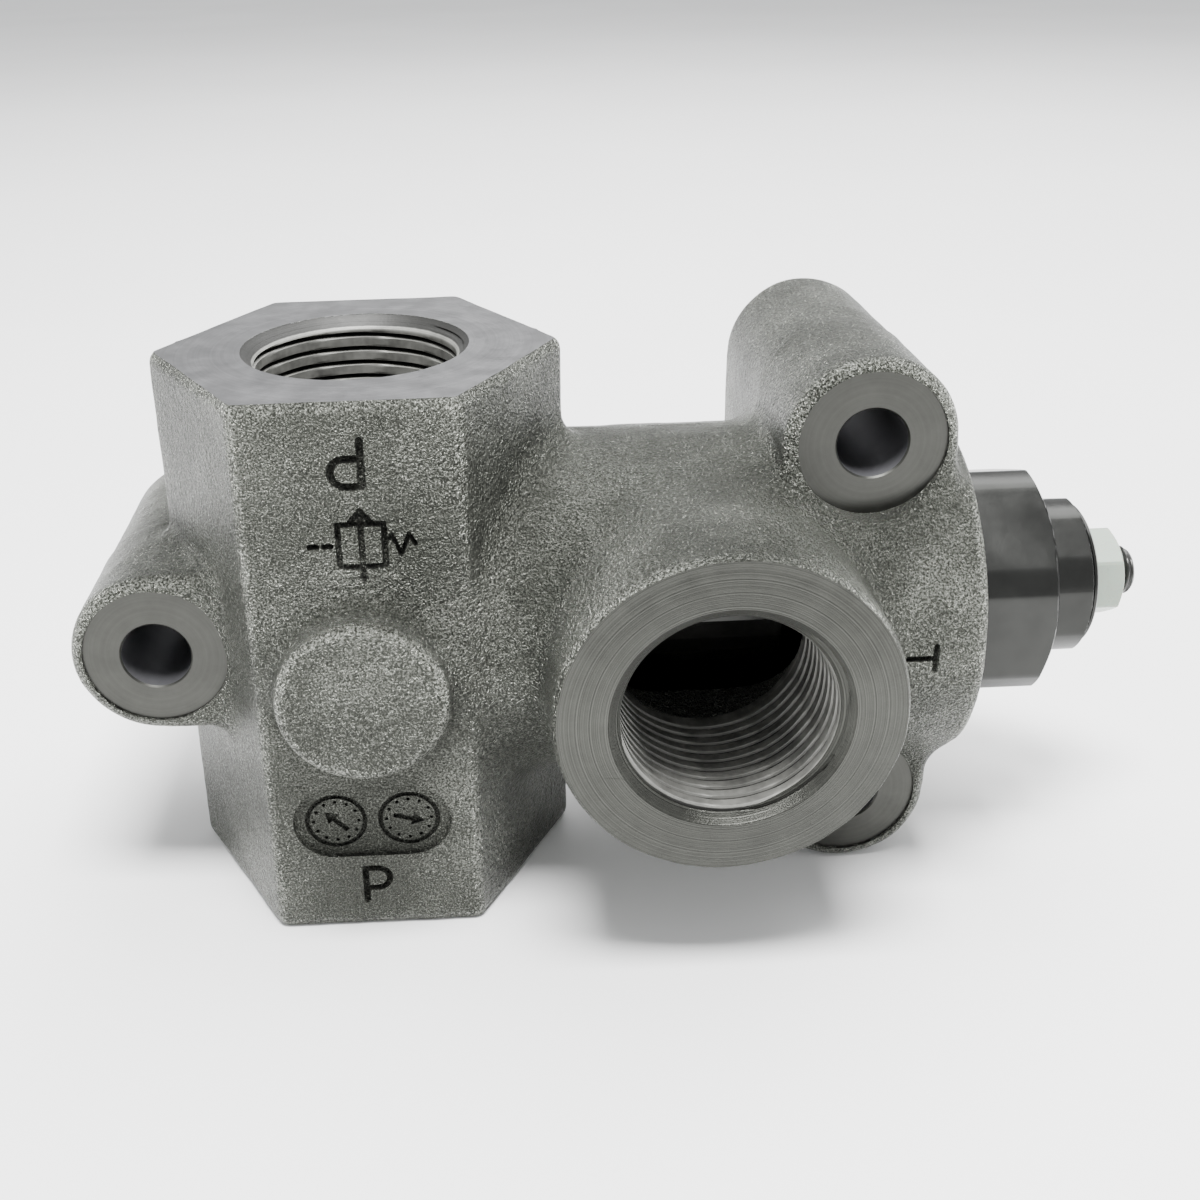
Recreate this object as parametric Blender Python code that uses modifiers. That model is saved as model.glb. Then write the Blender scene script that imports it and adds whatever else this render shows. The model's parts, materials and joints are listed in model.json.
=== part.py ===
"""In-line, pilot-operated pressure relief valve in a cast iron body.

Lengths are in millimetres and become metres where a mesh is made. Every shape is laid out from the point
where the pressure ports' vertical axis meets the cartridge's axis: X runs along the cartridge towards the
adjusting screw, Y towards the mounting face at the back, Z up. One empty then moves the whole valve, so
that the origin is under the middle of its box, at floor height.
"""
import math

import bmesh
import bpy
from mathutils import Matrix, Vector

METRE = 0.001
GAP = 0.3            # kept between pieces that touch
OVERRUN = 1.0        # how far a cutter runs past a face

# Casting
COLUMN_FLATS = 54.0
COLUMN_HALF = 43.0
BARREL_R = 27.0
BARREL_END = 91.0
TANK_X = 51.0
TANK_BOSS_R = 25.0
TANK_FACE = -41.0
PAD_R = 12.5
PAD_FACE = -33.0
LUG_R = 13.0
LUG_FRONT = -16.0
LUG_BACK = 33.0
LUG_HOLE_R = 5.25
SPOT_FACE_R = 11.0
SPOT_FACE_DEPTH = 0.4
SPOT_FACE_REACH = 8.0      # how far in front of a lug the spot facer clears the barrel
LEFT_LUG_X = -32.0
RIGHT_LUG_X = 75.0
RIGHT_LUG_Z = 30.0
WEB_ROOT_Z = 14.0
LEFT_WEB_END = -16.0

# Bores of the casting
THREAD_BORE_R = 15.15      # minor radius of the 1 inch pipe thread
THREAD_MOUTH_R = 17.15
PORT_DEPTH = 22.0
GALLERY_R = 14.0
CHAMBER_R = 16.5
CHAMBER_START = 34.0
CHAMBER_END = 72.0
NOSE_BORE_R = 10.0
CAVITY_R = 13.5            # M27 cavity thread
CAVITY_MOUTH_R = 15.4
CAVITY_MOUTH_DEPTH = 2.2

# Cartridge, along X
HEAD_START = BARREL_END + GAP
HEAD_END = 105.5
HEAD_FLATS = 34.5
HEAD_BAR_R = 18.75
HEAD_CORNER_TURN = -21.0   # degrees
STEM_START = 73.0
STEM_R = CAVITY_R - GAP
SPIGOT_START = 66.0
SPIGOT_R = 7.7
PILOT_BORE_R = 7.2
PILOT_BORE_START = 74.0
PASSAGE_R = 3.0
CAP_THREAD_START = 94.0
CAP_THREAD_R = 10.0
CAP_START = HEAD_END + GAP
CAP_END = 114.0
CAP_FLATS = 24.4
CAP_BAR_R = 12.75
CAP_CORNER_TURN = -23.0
FOLLOWER_BORE_R = 6.0
FOLLOWER_BORE_END = 108.0
SCREW_R = 4.0
SCREW_END = 123.5
SCREW_SOCKET_FLATS = 4.0
SCREW_SOCKET_DEPTH = 4.5
NUT_START = CAP_END + GAP
NUT_END = 120.5
NUT_FLATS = 13.0
NUT_CORNER_TURN = -35.0
NUT_COUNTERBORE_R = 5.6
NUT_COUNTERBORE_DEPTH = 1.6

# Sleeve and main piston
SLEEVE_START = 15.0
SLEEVE_NOSE_R = NOSE_BORE_R - GAP
SLEEVE_R = 12.0
SLEEVE_TAIL_R = 9.5
SLEEVE_TAIL_START = 64.0
SEAT_X = 36.0
SEAT_R = 6.5
PISTON_BORE_R = 8.0
PISTON_R = PISTON_BORE_R - GAP
PISTON_END = 56.0
PISTON_FLOOR = 42.0
WINDOW_X = 40.6
WINDOW_R = 3.0
WINDOW_COUNT = 6
RING_GROOVE = (22.0, 28.0)
RING_GROOVE_R = 7.9
LOCK_WIRE_X = 69.2
LOCK_GROOVE_HALF = 0.8

# Pilot stage
PILOT_SEAT_END = 79.0
PILOT_SEAT_R = PILOT_BORE_R - GAP
PILOT_HOLE_R = 1.5
GUIDE_START = 84.3
GUIDE_END = 86.0
FOLLOWER_FACE = 98.0
FOLLOWER_END = 104.0
FOLLOWER_R = FOLLOWER_BORE_R - GAP

WEB_INSET = 0.6          # webs stay this far inside the lugs' outline
CHAMFER_FACE_RATIO = 0.95
CHAMFER_ANGLE = 30.0
SHARP_ANGLE = 40.0
SEGMENTS = 40
SMALL_SEGMENTS = 24
ROW_CENTRE_X = (LEFT_LUG_X - LUG_R + SCREW_END) / 2
ROW_CENTRE_Y = (TANK_FACE + LUG_BACK) / 2
ROW_FLOOR_Z = -COLUMN_HALF


def clear_scene():
    for old in list(bpy.data.objects):
        bpy.data.objects.remove(old)
    for old in list(bpy.data.collections):
        bpy.data.collections.remove(old)


def new_collection(name):
    collection = bpy.data.collections.new(name)
    bpy.context.scene.collection.children.link(collection)
    return collection


def new_material(name, colour, roughness, metallic):
    material = bpy.data.materials.new(name)
    material.use_nodes = True
    shader = material.node_tree.nodes["Principled BSDF"]
    shader.inputs["Base Color"].default_value = (*colour, 1.0)
    shader.inputs["Roughness"].default_value = roughness
    shader.inputs["Metallic"].default_value = metallic
    return material


clear_scene()
PARTS = new_collection("in_line_relief_valve")
CUTTERS = new_collection("cutters")
ORIGIN = bpy.data.objects.new("valve_origin", None)
ORIGIN.location = Vector((-ROW_CENTRE_X, -ROW_CENTRE_Y, -ROW_FLOOR_Z)) * METRE
PARTS.objects.link(ORIGIN)

ALONG_X = Matrix.Rotation(math.pi / 2, 4, "Y")
ALONG_Z = Matrix.Identity(4)
FACING_FRONT = Matrix.Rotation(math.pi / 2, 4, "X")
UPSIDE_DOWN = Matrix.Rotation(math.pi, 4, "X")


def at(x, y, z, turn=ALONG_Z):
    """Place of a shape whose own axis is local Z, in metres."""
    return Matrix.Translation(Vector((x, y, z)) * METRE) @ turn


def add_mesh_object(name, mesh, place):
    obj = bpy.data.objects.new(name, mesh)
    PARTS.objects.link(obj)
    obj.parent = ORIGIN
    obj.matrix_basis = place
    return obj


def as_cutter(obj):
    """Keep a cutting tool out of the valve: it is drawn as wire and never rendered."""
    PARTS.objects.unlink(obj)
    CUTTERS.objects.link(obj)
    obj.hide_render = True
    obj.display_type = "WIRE"
    return obj


def round_bar(name, radius, low, high, place, segments=SEGMENTS):
    """Cylinder from low to high on its own Z axis, before it is placed."""
    mesh = bpy.data.meshes.new(name)
    shape = bmesh.new()
    bmesh.ops.create_cone(
        shape, cap_ends=True, segments=segments, radius1=radius * METRE, radius2=radius * METRE,
        depth=(high - low) * METRE, matrix=Matrix.Translation((0, 0, (low + high) / 2 * METRE)))
    shape.to_mesh(mesh)
    shape.free()
    return add_mesh_object(name, mesh, place)


def hexagon(name, flats, low, high, place, turn_degrees):
    """Six-sided bar from low to high; turn_degrees moves its corners round its own Z axis."""
    mesh = bpy.data.meshes.new(name)
    shape = bmesh.new()
    corner_r = flats / math.sqrt(3)
    bmesh.ops.create_cone(
        shape, cap_ends=True, segments=6, radius1=corner_r * METRE, radius2=corner_r * METRE,
        depth=(high - low) * METRE, matrix=Matrix.Translation((0, 0, (low + high) / 2 * METRE)))
    turn = Matrix.Rotation(math.radians(turn_degrees), 3, "Z")
    bmesh.ops.rotate(shape, cent=(0, 0, 0), matrix=turn, verts=shape.verts)
    shape.to_mesh(mesh)
    shape.free()
    return add_mesh_object(name, mesh, place)


def block(name, low, high):
    mesh = bpy.data.meshes.new(name)
    shape = bmesh.new()
    bmesh.ops.create_cube(shape, size=1.0)
    size = Vector(high) - Vector(low)
    bmesh.ops.scale(shape, vec=size * METRE, verts=shape.verts)
    shape.to_mesh(mesh)
    shape.free()
    middle = (Vector(low) + Vector(high)) / 2
    return add_mesh_object(name, mesh, at(*middle))


def turned(name, outline, place, segments=SMALL_SEGMENTS):
    """Turned piece: outline is (place on the axis, radius), down the outer side and back up the inner.

    An outline that starts and ends on the axis makes a solid piece, any other is closed into a ring.
    """
    mesh = bpy.data.meshes.new(name)
    shape = bmesh.new()
    verts = [shape.verts.new((radius * METRE, 0, along * METRE)) for along, radius in outline]
    for first, second in zip(verts, verts[1:]):
        shape.edges.new((first, second))
    if outline[0][1] > 0:
        shape.edges.new((verts[-1], verts[0]))
    shape.to_mesh(mesh)
    shape.free()
    obj = add_mesh_object(name, mesh, place)
    screw = obj.modifiers.new("turning", "SCREW")
    screw.steps = segments
    screw.render_steps = segments
    screw.use_merge_vertices = True
    screw.merge_threshold = 0.00001
    return obj


def washer(name, low, high, inner_r, outer_r):
    """Flat ring or short tube along X."""
    outline = [(high, outer_r), (low, outer_r), (low, inner_r), (high, inner_r)]
    return turned(name, outline, at(0, 0, 0, ALONG_X))


def ring_outline(centre, major, minor, sides=8):
    """Closed outline of a round ring, down its outer side first."""
    turns = [2 * math.pi * step / sides for step in range(sides)]
    return [(centre + minor * math.cos(turn), major + minor * math.sin(turn)) for turn in turns]


def round_ring(name, centre, major, minor, segments=SMALL_SEGMENTS):
    return turned(name, ring_outline(centre, major, minor), at(0, 0, 0, ALONG_X), segments)


def combine(obj, tool, operation):
    boolean = obj.modifiers.new(tool.name, "BOOLEAN")
    boolean.operation = operation
    boolean.solver = "EXACT"
    boolean.object = as_cutter(tool)


def shade(obj, material):
    """Give a piece its material, and smooth shading with its sharp edges kept."""
    obj.data.materials.append(material)
    if obj.data.polygons:
        obj.data.shade_smooth()
        obj.data.set_sharp_from_angle(angle=math.radians(SHARP_ANGLE))
    return obj


def bore(obj, name, radius, low, high, place, segments=SMALL_SEGMENTS):
    combine(obj, round_bar(name, radius, low, high, place, segments=segments), "DIFFERENCE")


def chamfered_hexagon(name, flats, low, high, turn_degrees, bar_r=None):
    """Hexagon along X, chamfered at its high end as on a nut. One milled on round bar keeps parts of the bar."""
    hexagonal = hexagon(name, flats, low, high, at(0, 0, 0, ALONG_X), turn_degrees)
    face_r = flats / 2 * CHAMFER_FACE_RATIO
    outer_r = bar_r or flats / math.sqrt(3) + OVERRUN
    slope = (outer_r - face_r) * math.tan(math.radians(CHAMFER_ANGLE))
    outline = [(high, 0), (high, face_r), (high - slope, outer_r), (low, outer_r), (low, 0)]
    tool = turned(name + "_turning", outline, at(0, 0, 0, ALONG_X), SEGMENTS)
    combine(hexagonal, tool, "INTERSECT")
    return hexagonal


def coil(name, material, radius, wire_r, low, high, turns, points_per_turn=10):
    """Compression spring along X with its wire's outside between low and high."""
    curve = bpy.data.curves.new(name, "CURVE")
    curve.dimensions = "3D"
    curve.bevel_depth = wire_r * METRE
    curve.bevel_resolution = 2
    curve.use_fill_caps = True
    spline = curve.splines.new("POLY")
    count = int(turns * points_per_turn) + 1
    spline.points.add(count - 1)
    for index in range(count):
        share = index / (count - 1)
        angle = 2 * math.pi * turns * share
        along = low + wire_r + (high - low - 2 * wire_r) * share
        position = Vector((along, radius * math.cos(angle), radius * math.sin(angle)))
        spline.points[index].co = (*(position * METRE), 1.0)
    curve.materials.append(material)
    obj = bpy.data.objects.new(name, curve)
    PARTS.objects.link(obj)
    obj.parent = ORIGIN
    return obj


def make_casting(material):
    body = hexagon("valve_body", COLUMN_FLATS, -COLUMN_HALF, COLUMN_HALF, at(0, 0, 0), 90)
    combine(body, round_bar("barrel", BARREL_R, 0, BARREL_END, at(0, 0, 0, ALONG_X)), "UNION")
    tank_place = at(TANK_X, 0, 0, FACING_FRONT)
    combine(body, round_bar("tank_boss", TANK_BOSS_R, 0, -TANK_FACE, tank_place), "UNION")
    pad = round_bar("front_pad", PAD_R, 20.0, -PAD_FACE, at(0, 0, 0, FACING_FRONT), segments=SMALL_SEGMENTS)
    combine(body, pad, "UNION")
    lugs = [("left", LEFT_LUG_X, 0), ("upper", RIGHT_LUG_X, RIGHT_LUG_Z), ("lower", RIGHT_LUG_X, -RIGHT_LUG_Z)]
    for name, x, z in lugs:
        lug = round_bar(name + "_lug", LUG_R, -LUG_BACK, -LUG_FRONT, at(x, 0, z, FACING_FRONT))
        combine(body, lug, "UNION")
    left_web = block("left_web", (LEFT_LUG_X, LUG_FRONT + WEB_INSET, -LUG_R + WEB_INSET),
                     (LEFT_WEB_END, LUG_BACK - WEB_INSET, LUG_R - WEB_INSET))
    combine(body, left_web, "UNION")
    half_web = LUG_R - WEB_INSET
    for side in (1, -1):
        inner, outer = sorted((side * WEB_ROOT_Z, side * RIGHT_LUG_Z))
        low = (RIGHT_LUG_X - half_web, LUG_FRONT + WEB_INSET, inner)
        high = (RIGHT_LUG_X + half_web, LUG_BACK - WEB_INSET, outer)
        combine(body, block(f"right_web_{side}", low, high), "UNION")

    bore(body, "gallery", GALLERY_R, -COLUMN_HALF - OVERRUN, COLUMN_HALF + OVERRUN, at(0, 0, 0))
    mouth_depth = THREAD_MOUTH_R - THREAD_BORE_R
    port_faces = [
        ("upper_port", at(0, 0, COLUMN_HALF), PORT_DEPTH),
        ("lower_port", at(0, 0, -COLUMN_HALF, UPSIDE_DOWN), PORT_DEPTH),
        ("tank_port", at(TANK_X, TANK_FACE, 0, FACING_FRONT), -TANK_FACE - SLEEVE_R),
    ]
    for name, place, depth in port_faces:
        outline = [
            (OVERRUN, 0), (OVERRUN, THREAD_MOUTH_R), (0, THREAD_MOUTH_R),
            (-mouth_depth, THREAD_BORE_R), (-depth, THREAD_BORE_R), (-depth, 0),
        ]
        combine(body, turned(name, outline, place, SEGMENTS), "DIFFERENCE")

    cavity = [
        (BARREL_END + OVERRUN, 0), (BARREL_END + OVERRUN, CAVITY_MOUTH_R), (BARREL_END, CAVITY_MOUTH_R),
        (BARREL_END - CAVITY_MOUTH_DEPTH, CAVITY_R), (CHAMBER_END, CAVITY_R), (CHAMBER_END, CHAMBER_R),
        (CHAMBER_START, CHAMBER_R), (CHAMBER_START, NOSE_BORE_R), (0, NOSE_BORE_R), (0, 0),
    ]
    combine(body, turned("cavity", cavity, at(0, 0, 0, ALONG_X), SEGMENTS), "DIFFERENCE")
    for name, x, z in lugs:
        place = at(x, 0, z, FACING_FRONT)
        bore(body, name + "_hole", LUG_HOLE_R, -LUG_BACK - OVERRUN, -LUG_FRONT + OVERRUN, place)
        spot = -LUG_FRONT - SPOT_FACE_DEPTH
        bore(body, name + "_spot_face", SPOT_FACE_R, spot, spot + SPOT_FACE_REACH, place)
    return shade(body, material)


def make_cartridge_body(material):
    body = chamfered_hexagon("cartridge_body", HEAD_FLATS, HEAD_START, HEAD_END, HEAD_CORNER_TURN, HEAD_BAR_R)
    relief_r = 12.2
    relief_start = 88.5
    inside_head = HEAD_START + 4.0
    groove = (LOCK_WIRE_X - LOCK_GROOVE_HALF, LOCK_WIRE_X + LOCK_GROOVE_HALF)
    groove_r = 7.05
    stem = [
        (inside_head, 0), (inside_head, relief_r), (relief_start, relief_r), (relief_start, STEM_R),
        (STEM_START, STEM_R), (STEM_START, SPIGOT_R), (groove[1], SPIGOT_R), (groove[1], groove_r),
        (groove[0], groove_r), (groove[0], SPIGOT_R), (SPIGOT_START, SPIGOT_R), (SPIGOT_START, 0),
    ]
    combine(body, turned("stem", stem, at(0, 0, 0, ALONG_X)), "UNION")
    mouth_r = 11.2
    mouth_depth = 1.3
    inside = [
        (HEAD_END + OVERRUN, 0), (HEAD_END + OVERRUN, mouth_r), (HEAD_END, mouth_r),
        (HEAD_END - mouth_depth, CAP_THREAD_R), (CAP_THREAD_START, CAP_THREAD_R),
        (CAP_THREAD_START, PILOT_BORE_R), (PILOT_BORE_START, PILOT_BORE_R), (PILOT_BORE_START, PASSAGE_R),
        (SPIGOT_START - OVERRUN, PASSAGE_R), (SPIGOT_START - OVERRUN, 0),
    ]
    combine(body, turned("pilot_cavity", inside, at(0, 0, 0, ALONG_X)), "DIFFERENCE")
    drain_r = 0.8
    drain_offset = 10.4
    drain_x = 84.0
    for side in (1, -1):
        place = at(0, 0, side * drain_offset, ALONG_X)
        bore(body, f"drain_along_{side}", drain_r, STEM_START - OVERRUN, drain_x + 1.0, place, segments=10)
        across = at(drain_x, 0, 0) if side > 0 else at(drain_x, 0, 0, UPSIDE_DOWN)
        bore(body, f"drain_across_{side}", drain_r, PILOT_BORE_R - OVERRUN, drain_offset, across, segments=10)
    return shade(body, material)


def make_sleeve(material):
    nose_wall_chamfer = 0.8
    lock_groove_r = 8.65
    lock_groove = (LOCK_WIRE_X - LOCK_GROOVE_HALF, LOCK_WIRE_X + LOCK_GROOVE_HALF)
    outline = [
        (STEM_START - GAP, SLEEVE_TAIL_R), (SLEEVE_TAIL_START, SLEEVE_TAIL_R), (SLEEVE_TAIL_START, SLEEVE_R),
        (SEAT_X, SLEEVE_R), (CHAMBER_START + GAP, SLEEVE_NOSE_R), (RING_GROOVE[1], SLEEVE_NOSE_R),
        (RING_GROOVE[1], RING_GROOVE_R), (RING_GROOVE[0], RING_GROOVE_R), (RING_GROOVE[0], SLEEVE_NOSE_R),
        (SLEEVE_START + nose_wall_chamfer, SLEEVE_NOSE_R), (SLEEVE_START, SLEEVE_NOSE_R - nose_wall_chamfer),
        (SLEEVE_START, SEAT_R), (SEAT_X, SEAT_R), (SEAT_X, PISTON_BORE_R),
        (lock_groove[0], PISTON_BORE_R), (lock_groove[0], lock_groove_r),
        (lock_groove[1], lock_groove_r), (lock_groove[1], PISTON_BORE_R),
        (STEM_START - GAP, PISTON_BORE_R),
    ]
    sleeve = turned("main_sleeve", outline, at(0, 0, 0, ALONG_X))
    for index in range(WINDOW_COUNT):
        turn = Matrix.Rotation(2 * math.pi * (index + 0.5) / WINDOW_COUNT, 4, "X")
        place = turn @ at(WINDOW_X, 0, 0)
        low, high = PISTON_BORE_R - OVERRUN, SLEEVE_R + OVERRUN
        bore(sleeve, f"window_{index}", WINDOW_R, low, high, place, segments=12)
    return shade(sleeve, material)


def make_main_piston(steel, brass):
    """Piston with a 45 degree cone that stands off the seat's edge by the gap, its jet and its screen."""
    cone_offset = SEAT_X - SEAT_R + GAP * math.sqrt(2)
    cone_tip_r = 4.5
    jet_pocket_r = 2.3
    jet_pocket_end = 38.5
    front = cone_offset + cone_tip_r
    bored_r = 5.2
    passage_r = 1.0
    piston = [
        (PISTON_END, PISTON_R), (cone_offset + PISTON_R, PISTON_R), (front, cone_tip_r), (front, jet_pocket_r),
        (jet_pocket_end, jet_pocket_r), (jet_pocket_end, passage_r), (PISTON_FLOOR, passage_r),
        (PISTON_FLOOR, bored_r), (PISTON_END, bored_r),
    ]
    shade(turned("main_poppet", piston, at(0, 0, 0, ALONG_X)), steel)
    jet_r = jet_pocket_r - GAP
    jet_end = jet_pocket_end - GAP
    jet_start = jet_end - 2.4
    shade(washer("damping_orifice", jet_start, jet_end, 0.5, jet_r), brass)
    screen_end = jet_start - GAP
    shade(washer("orifice_screen", screen_end - 0.6, screen_end, 1.2, jet_r), steel)


def make_pilot_stage(steel):
    seal_groove = (75.6, 77.4)
    seal_groove_r = 5.6
    seat_start = PILOT_BORE_START + GAP
    seat = [
        (PILOT_SEAT_END, PILOT_SEAT_R), (seal_groove[1], PILOT_SEAT_R), (seal_groove[1], seal_groove_r),
        (seal_groove[0], seal_groove_r), (seal_groove[0], PILOT_SEAT_R), (seat_start, PILOT_SEAT_R),
        (seat_start, PILOT_HOLE_R), (PILOT_SEAT_END, PILOT_HOLE_R),
    ]
    shade(turned("pilot_seat", seat, at(0, 0, 0, ALONG_X), SMALL_SEGMENTS), steel)
    tip_x, tip_r = 77.3, 0.2
    cone_end, shank_r = 82.0, 2.9
    tail_r, tail_end = 2.0, 88.0
    shoulder = GUIDE_START - GAP
    poppet = [
        (tail_end, 0), (tail_end, tail_r), (shoulder, tail_r), (shoulder, shank_r), (cone_end, shank_r),
        (tip_x, tip_r), (tip_x, 0),
    ]
    shade(turned("pilot_poppet", poppet, at(0, 0, 0, ALONG_X), 24), steel)
    guide_hole_r = tail_r + GAP
    guide_r = PILOT_BORE_R - 2 * GAP
    shade(washer("pilot_spring_guide", GUIDE_START, GUIDE_END, guide_hole_r, guide_r), steel)
    groove = (100.0, 102.0)
    groove_r = 4.3
    spigot_r, spigot_start = 2.6, 92.0
    follower = [
        (FOLLOWER_END, 0), (FOLLOWER_END, FOLLOWER_R), (groove[1], FOLLOWER_R), (groove[1], groove_r),
        (groove[0], groove_r), (groove[0], FOLLOWER_R), (FOLLOWER_FACE, FOLLOWER_R),
        (FOLLOWER_FACE, spigot_r), (spigot_start, spigot_r), (spigot_start, 0),
    ]
    shade(turned("spring_follower", follower, at(0, 0, 0, ALONG_X), SMALL_SEGMENTS), steel)


def make_cap(material):
    cap = chamfered_hexagon("adjuster_cap", CAP_FLATS, CAP_START, CAP_END, CAP_CORNER_TURN, CAP_BAR_R)
    stem_start = CAP_THREAD_START + GAP
    relief_start = 103.8
    relief_r = 8.9
    inside_hex = CAP_START + 2.0
    stem = [
        (inside_hex, 0), (inside_hex, relief_r), (relief_start, relief_r),
        (relief_start, CAP_THREAD_R - GAP), (stem_start, CAP_THREAD_R - GAP), (stem_start, 0),
    ]
    combine(cap, turned("cap_stem", stem, at(0, 0, 0, ALONG_X)), "UNION")
    inside = [
        (CAP_END + OVERRUN, 0), (CAP_END + OVERRUN, SCREW_R + GAP), (FOLLOWER_BORE_END, SCREW_R + GAP),
        (FOLLOWER_BORE_END, FOLLOWER_BORE_R), (stem_start - OVERRUN, FOLLOWER_BORE_R), (stem_start - OVERRUN, 0),
    ]
    combine(cap, turned("cap_bore", inside, at(0, 0, 0, ALONG_X), SMALL_SEGMENTS), "DIFFERENCE")
    return shade(cap, material)


def make_screw(material):
    chamfer = 0.9
    start = FOLLOWER_END + GAP
    outline = [
        (SCREW_END, 0), (SCREW_END, SCREW_R - chamfer), (SCREW_END - chamfer, SCREW_R),
        (start + chamfer, SCREW_R), (start, SCREW_R - chamfer), (start, 0),
    ]
    screw = turned("adjusting_screw", outline, at(0, 0, 0, ALONG_X), SMALL_SEGMENTS)
    place = at(0, 0, 0, ALONG_X)
    socket = hexagon("screw_socket", SCREW_SOCKET_FLATS, SCREW_END - SCREW_SOCKET_DEPTH,
                     SCREW_END + OVERRUN, place, 0)
    combine(screw, socket, "DIFFERENCE")
    return shade(screw, material)


def make_nut(nylon, rubber):
    nut = chamfered_hexagon("lock_nut", NUT_FLATS, NUT_START, NUT_END, NUT_CORNER_TURN)
    hole_r = SCREW_R + GAP
    counterbore_end = NUT_START + NUT_COUNTERBORE_DEPTH
    inside = [
        (NUT_END + OVERRUN, 0), (NUT_END + OVERRUN, hole_r), (counterbore_end, hole_r),
        (counterbore_end, NUT_COUNTERBORE_R), (NUT_START - OVERRUN, NUT_COUNTERBORE_R), (NUT_START - OVERRUN, 0),
    ]
    combine(nut, turned("nut_bore", inside, at(0, 0, 0, ALONG_X), SMALL_SEGMENTS), "DIFFERENCE")
    shade(nut, nylon)
    seal = washer("nut_seal_washer", NUT_START, counterbore_end - GAP, hole_r, NUT_COUNTERBORE_R - GAP)
    shade(seal, rubber)


def make_seals(rubber, white_plastic, spring_steel):
    backup_width = 1.2
    inner, outer = RING_GROOVE_R + GAP, SLEEVE_NOSE_R
    backup_starts = {
        "nose_backup_front": RING_GROOVE[0] + GAP,
        "nose_backup_rear": RING_GROOVE[1] - GAP - backup_width,
    }
    for name, start in backup_starts.items():
        shade(washer(name, start, start + backup_width, inner, outer), white_plastic)
    # place along X, radius of the ring's middle line, radius of its section
    rings = {
        "nose_seal_ring": (sum(RING_GROOVE) / 2, 8.95, 0.7),
        "pilot_seat_seal": (76.5, 6.35, 0.45),
        "head_seal_ring": (90.35, 13.2, 0.65),
        "follower_seal": (101.0, 5.15, 0.55),
        "cap_seal_ring": (104.95, 9.65, 0.45),
    }
    for name, sizes in rings.items():
        shade(round_ring(name, *sizes), rubber)
    shade(round_ring("sleeve_lock_wire", LOCK_WIRE_X, 7.85, 0.45), spring_steel)


def make_springs(spring_steel):
    """Both springs, each with its coil radius, wire radius, ends and number of turns."""
    main_ends = (PISTON_FLOOR + GAP, SPIGOT_START - GAP)
    coil("main_spring", spring_steel, 4.2, 0.6, *main_ends, turns=6.5)
    pilot_ends = (GUIDE_END + GAP, FOLLOWER_FACE - GAP)
    coil("pilot_spring", spring_steel, 4.3, 0.7, *pilot_ends, turns=5.5)


def main():
    cast_iron = new_material("cast_iron", (0.16, 0.16, 0.15), 0.55, 0.8)
    black_steel = new_material("black_oxide_steel", (0.03, 0.03, 0.035), 0.4, 0.7)
    steel = new_material("ground_steel", (0.45, 0.45, 0.46), 0.3, 1.0)
    spring_steel = new_material("spring_steel", (0.3, 0.3, 0.32), 0.35, 1.0)
    brass = new_material("brass", (0.6, 0.42, 0.15), 0.35, 1.0)
    nylon = new_material("white_nylon", (0.75, 0.77, 0.76), 0.35, 0.0)
    rubber = new_material("black_rubber", (0.02, 0.02, 0.02), 0.7, 0.0)
    backup_plastic = new_material("backup_plastic", (0.7, 0.7, 0.68), 0.5, 0.0)
    make_casting(cast_iron)
    make_cartridge_body(black_steel)
    make_sleeve(black_steel)
    make_main_piston(steel, brass)
    make_pilot_stage(steel)
    make_cap(black_steel)
    make_screw(black_steel)
    make_nut(nylon, rubber)
    make_seals(rubber, backup_plastic, spring_steel)
    make_springs(spring_steel)


main()
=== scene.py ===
"""Looks of the in-line relief valve: a sand-cast iron body with machined faces, cast markings and real
threads, and a black cartridge with its cap, nylon lock nut and adjusting screw.

Shapes are laid out in millimetres from the point where the pressure ports' vertical axis meets the
cartridge's axis (X along the cartridge, Y to the back, Z up). place() turns that into the row frame.
"""
import json
import math

import bmesh
import bpy
import numpy as np
import openvdb
from mathutils import Matrix, Vector


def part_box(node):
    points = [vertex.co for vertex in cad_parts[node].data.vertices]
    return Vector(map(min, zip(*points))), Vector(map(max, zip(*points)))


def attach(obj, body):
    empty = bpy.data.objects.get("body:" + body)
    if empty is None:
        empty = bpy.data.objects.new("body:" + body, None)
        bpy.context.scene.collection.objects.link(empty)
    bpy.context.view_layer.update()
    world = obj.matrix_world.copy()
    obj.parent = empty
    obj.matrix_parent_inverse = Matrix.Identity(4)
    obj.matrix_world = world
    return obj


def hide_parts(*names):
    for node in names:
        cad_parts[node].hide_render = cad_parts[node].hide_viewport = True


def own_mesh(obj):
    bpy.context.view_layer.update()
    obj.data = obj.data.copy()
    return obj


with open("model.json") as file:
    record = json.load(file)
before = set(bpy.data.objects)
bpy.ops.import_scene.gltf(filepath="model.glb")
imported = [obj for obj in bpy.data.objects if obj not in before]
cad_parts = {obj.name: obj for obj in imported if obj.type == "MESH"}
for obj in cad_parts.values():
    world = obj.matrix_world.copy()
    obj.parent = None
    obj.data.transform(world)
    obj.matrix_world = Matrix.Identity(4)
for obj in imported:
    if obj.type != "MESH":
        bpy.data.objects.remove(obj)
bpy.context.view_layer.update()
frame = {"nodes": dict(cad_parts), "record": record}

METRE = 0.001
BODY_LOW, BODY_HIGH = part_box("valve_body")
HEAD_LOW, HEAD_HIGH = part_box("cartridge_body")

# The left lug's side is the casting's leftmost point, which places the pressure ports' axis (mm).
LEFT_LUG_X = -32.0
LUG_R = 13.0
AXIS = Vector((BODY_LOW.x + (LUG_R - LEFT_LUG_X) * METRE,
               (HEAD_LOW.y + HEAD_HIGH.y) / 2,
               (BODY_LOW.z + BODY_HIGH.z) / 2))


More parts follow.
